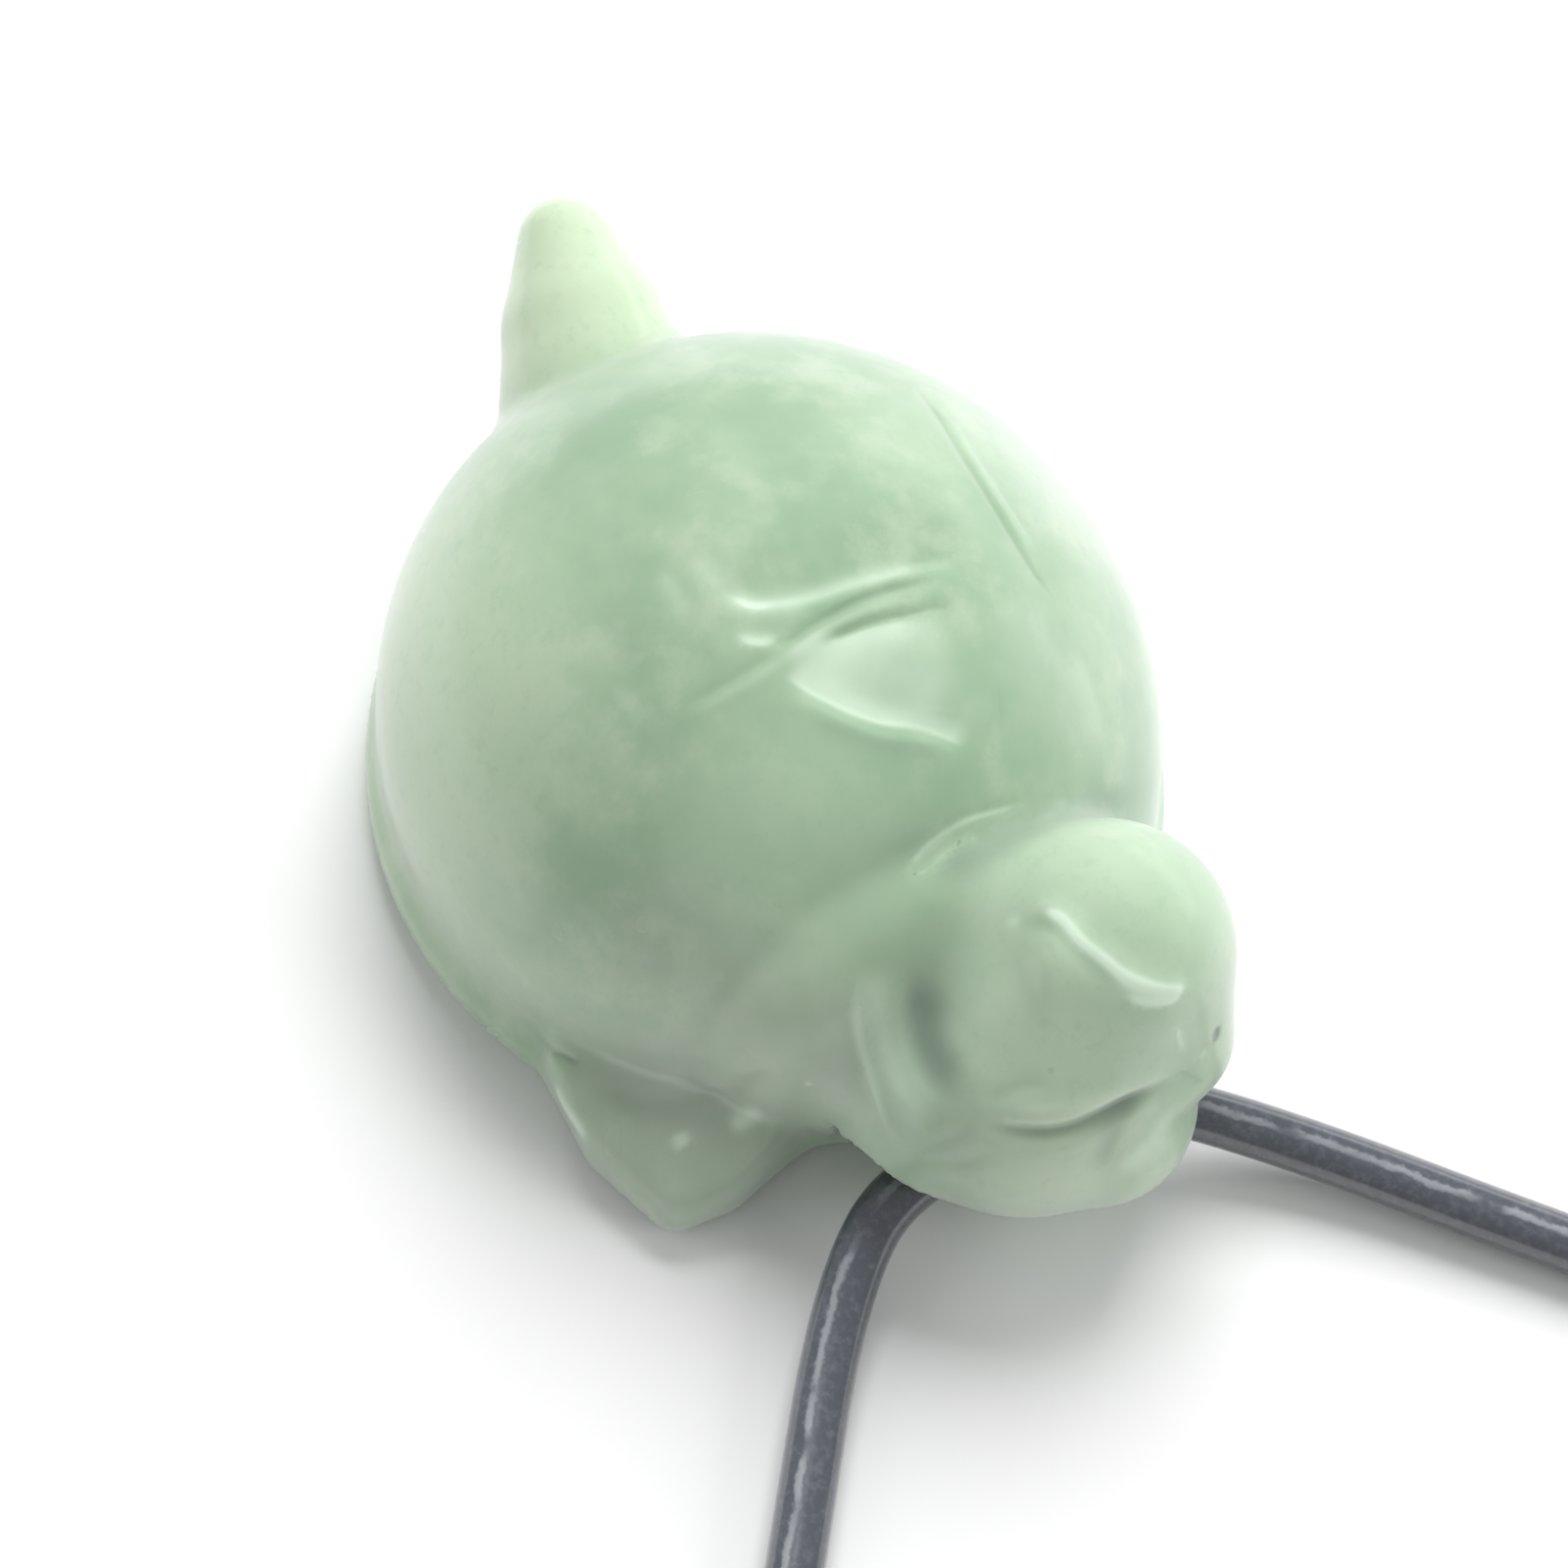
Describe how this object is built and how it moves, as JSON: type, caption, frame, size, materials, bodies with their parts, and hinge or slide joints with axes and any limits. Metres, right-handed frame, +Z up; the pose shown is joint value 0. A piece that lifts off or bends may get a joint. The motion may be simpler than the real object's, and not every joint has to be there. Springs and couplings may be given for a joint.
{
  "type": "pendant necklace",
  "caption": "Turtle pendant carved from pale green stone, with a domed shell, a turned head and a raised tail, on a round leather cord closed by a plain barrel clasp.",
  "frame": {"origin": "on the flat belly under the middle of the turtle, at the surface that the turtle lies on", "axes": "+X the way the turtle's body faces, with the cord's loop lying in front of it; +Y the turtle's left; +Z up"},
  "size_m": [0.1851, 0.1214, 0.0167],
  "materials": {
    "green_stone": "carved and polished, slightly see-through, mottled pale green",
    "black_leather": "round leather cord, black, lightly glossy",
    "clasp_metal": "plain satin steel"
  },
  "bodies": {
    "root": {"turtle": "green_stone", "cord": "black_leather", "clasp": "clasp_metal"}
  },
  "joints": []
}
